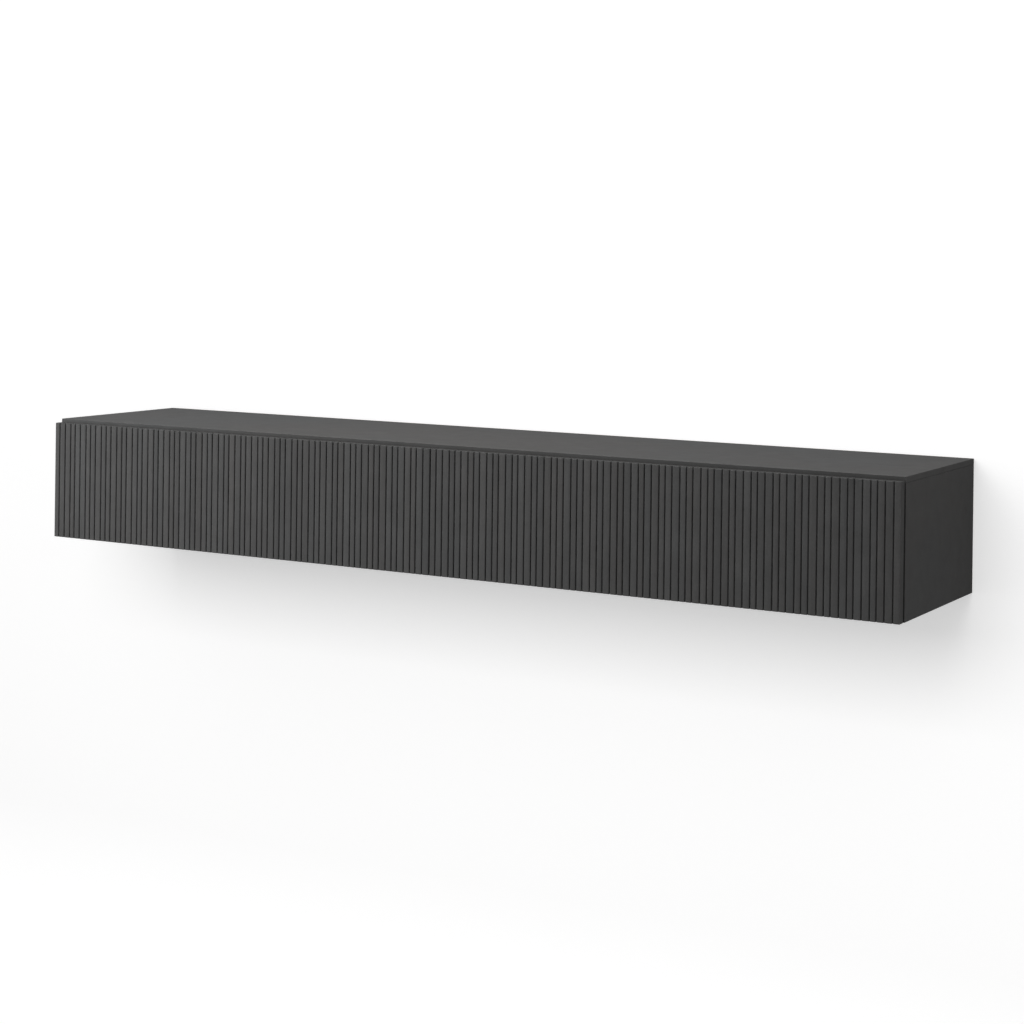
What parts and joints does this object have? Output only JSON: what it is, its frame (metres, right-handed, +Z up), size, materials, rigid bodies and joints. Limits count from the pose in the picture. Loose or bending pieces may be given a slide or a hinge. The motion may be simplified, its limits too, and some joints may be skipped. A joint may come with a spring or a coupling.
{
  "type": "floating media console",
  "caption": "Wall-hung low media console with full-width ribbed drop-down flaps, push-open latches, soft-down stays and a hidden hanging cleat.",
  "frame": {"origin": "middle of the row of wall fixing holes, on the wall plane, 210 mm above the underside of the carcass", "axes": "+X to the right seen from the room, +Y into the wall, +Z up"},
  "size_m": [2, 0.42, 0.2653],
  "materials": {
    "anthracite_lacquer": "matte anthracite lacquer over fibreboard",
    "back_board": "matte anthracite foil on thin fibreboard",
    "rail_board": "matte anthracite melamine on board",
    "aluminium_profile": "natural anodised extrusion",
    "beech": "fluted beech dowel",
    "zinc_fitting": "zinc die casting, satin",
    "black_plastic": "fine matte black",
    "grey_plastic": "dark grey moulded housing",
    "plunger_plastic": "light grey acetal with magnet tip",
    "bumper_rubber": "soft matte",
    "hinge_steel": "black nickel plated strip",
    "stay_steel": "nickel plated",
    "screw_steel": "zinc plated"
  },
  "bodies": {
    "carcass": {"back_panel": "back_board", "bottom_panel": "anthracite_lacquer", "cabinet_cleat": "aluminium_profile", "cable_grommets": "black_plastic", "cam_bolts": "zinc_fitting", "cam_covers": "black_plastic", "cam_locks": "zinc_fitting", "centre_partition": "anthracite_lacquer", "cleat_screws": "screw_steel", "front_rail_left": "rail_board", "front_rail_right": "rail_board", "hinge_carcass_screws": "screw_steel", "hinge_fixed_leaf_left": "hinge_steel", "hinge_fixed_leaf_right": "hinge_steel", "hinge_pin_left": "hinge_steel", "hinge_pin_right": "hinge_steel", "left_side_panel": "anthracite_lacquer", "nailer_left": "rail_board", "nailer_right": "rail_board", "partition_screws": "screw_steel", "push_latch_housing_left": "black_plastic", "push_latch_housing_right": "black_plastic", "right_side_panel": "anthracite_lacquer", "stay_housing_left_inner": "grey_plastic", "stay_housing_left_outer": "grey_plastic", "stay_housing_right_inner": "grey_plastic", "stay_housing_right_outer": "grey_plastic", "stay_screws": "screw_steel", "top_panel": "anthracite_lacquer", "wall_cleat": "aluminium_profile", "wood_dowels": "beech"},
    "flap_left": {"flap_panel_left": "anthracite_lacquer", "flap_bumpers_left": "bumper_rubber", "flap_screws_left": "screw_steel", "hinge_flap_leaf_left": "hinge_steel", "latch_catch_plate_left": "stay_steel", "stay_bracket_left_outer": "stay_steel", "stay_bracket_left_inner": "stay_steel"},
    "stay_lever_left_outer": {"stay_lever_left_outer": "stay_steel"},
    "stay_link_left_outer": {"stay_link_left_outer": "stay_steel"},
    "stay_lever_left_inner": {"stay_lever_left_inner": "stay_steel"},
    "stay_link_left_inner": {"stay_link_left_inner": "stay_steel"},
    "push_latch_plunger_left": {"push_latch_plunger_left": "plunger_plastic"},
    "flap_right": {"flap_panel_right": "anthracite_lacquer", "flap_bumpers_right": "bumper_rubber", "flap_screws_right": "screw_steel", "hinge_flap_leaf_right": "hinge_steel", "latch_catch_plate_right": "stay_steel", "stay_bracket_right_outer": "stay_steel", "stay_bracket_right_inner": "stay_steel"},
    "stay_lever_right_outer": {"stay_lever_right_outer": "stay_steel"},
    "stay_link_right_outer": {"stay_link_right_outer": "stay_steel"},
    "stay_lever_right_inner": {"stay_lever_right_inner": "stay_steel"},
    "stay_link_right_inner": {"stay_link_right_inner": "stay_steel"},
    "push_latch_plunger_right": {"push_latch_plunger_right": "plunger_plastic"}
  },
  "joints": [
    {"name": "flap_left_hinge", "type": "hinge", "parent": "carcass", "child": "flap_left", "pos_m": [-0.49975, -0.399, -0.2086], "axis": [1, 0, 0], "range_deg": [-0.5, 90]},
    {"name": "stay_lever_left_outer_pivot", "type": "hinge", "parent": "carcass", "child": "stay_lever_left_outer", "pos_m": [-0.968, -0.289, -0.1466], "axis": [1, 0, 0], "range_deg": [-0.5, 90]},
    {"name": "stay_link_left_outer_pivot", "type": "hinge", "parent": "stay_lever_left_outer", "child": "stay_link_left_outer", "pos_m": [-0.9645, -0.273, -0.0366], "axis": [1, 0, 0], "range_deg": [-90, 0.5]},
    {"name": "stay_lever_left_inner_pivot", "type": "hinge", "parent": "carcass", "child": "stay_lever_left_inner", "pos_m": [-0.024, -0.289, -0.1466], "axis": [1, 0, 0], "range_deg": [-0.5, 90]},
    {"name": "stay_link_left_inner_pivot", "type": "hinge", "parent": "stay_lever_left_inner", "child": "stay_link_left_inner", "pos_m": [-0.0275, -0.273, -0.0366], "axis": [1, 0, 0], "range_deg": [-90, 0.5]},
    {"name": "push_latch_left_travel", "type": "slide", "parent": "carcass", "child": "push_latch_plunger_left", "axis": [0, -1, 0], "range_m": [-0.002, 0.014]},
    {"name": "flap_right_hinge", "type": "hinge", "parent": "carcass", "child": "flap_right", "pos_m": [0.49975, -0.399, -0.2086], "axis": [1, 0, 0], "range_deg": [-0.5, 90]},
    {"name": "stay_lever_right_outer_pivot", "type": "hinge", "parent": "carcass", "child": "stay_lever_right_outer", "pos_m": [0.968, -0.289, -0.1466], "axis": [1, 0, 0], "range_deg": [-0.5, 90]},
    {"name": "stay_link_right_outer_pivot", "type": "hinge", "parent": "stay_lever_right_outer", "child": "stay_link_right_outer", "pos_m": [0.9645, -0.273, -0.0366], "axis": [1, 0, 0], "range_deg": [-90, 0.5]},
    {"name": "stay_lever_right_inner_pivot", "type": "hinge", "parent": "carcass", "child": "stay_lever_right_inner", "pos_m": [0.024, -0.289, -0.1466], "axis": [1, 0, 0], "range_deg": [-0.5, 90]},
    {"name": "stay_link_right_inner_pivot", "type": "hinge", "parent": "stay_lever_right_inner", "child": "stay_link_right_inner", "pos_m": [0.0275, -0.273, -0.0366], "axis": [1, 0, 0], "range_deg": [-90, 0.5]},
    {"name": "push_latch_right_travel", "type": "slide", "parent": "carcass", "child": "push_latch_plunger_right", "axis": [0, -1, 0], "range_m": [-0.002, 0.014]}
  ],
  "couplings": [
    {"joint": "stay_lever_left_outer_pivot", "follows": "flap_left_hinge", "ratio": 1},
    {"joint": "stay_link_left_outer_pivot", "follows": "flap_left_hinge", "ratio": -1},
    {"joint": "stay_lever_left_inner_pivot", "follows": "flap_left_hinge", "ratio": 1},
    {"joint": "stay_link_left_inner_pivot", "follows": "flap_left_hinge", "ratio": -1},
    {"joint": "push_latch_left_travel", "follows": "flap_left_hinge", "m_per_rad": 0.0089},
    {"joint": "stay_lever_right_outer_pivot", "follows": "flap_right_hinge", "ratio": 1},
    {"joint": "stay_link_right_outer_pivot", "follows": "flap_right_hinge", "ratio": -1},
    {"joint": "stay_lever_right_inner_pivot", "follows": "flap_right_hinge", "ratio": 1},
    {"joint": "stay_link_right_inner_pivot", "follows": "flap_right_hinge", "ratio": -1},
    {"joint": "push_latch_right_travel", "follows": "flap_right_hinge", "m_per_rad": 0.0089}
  ]
}
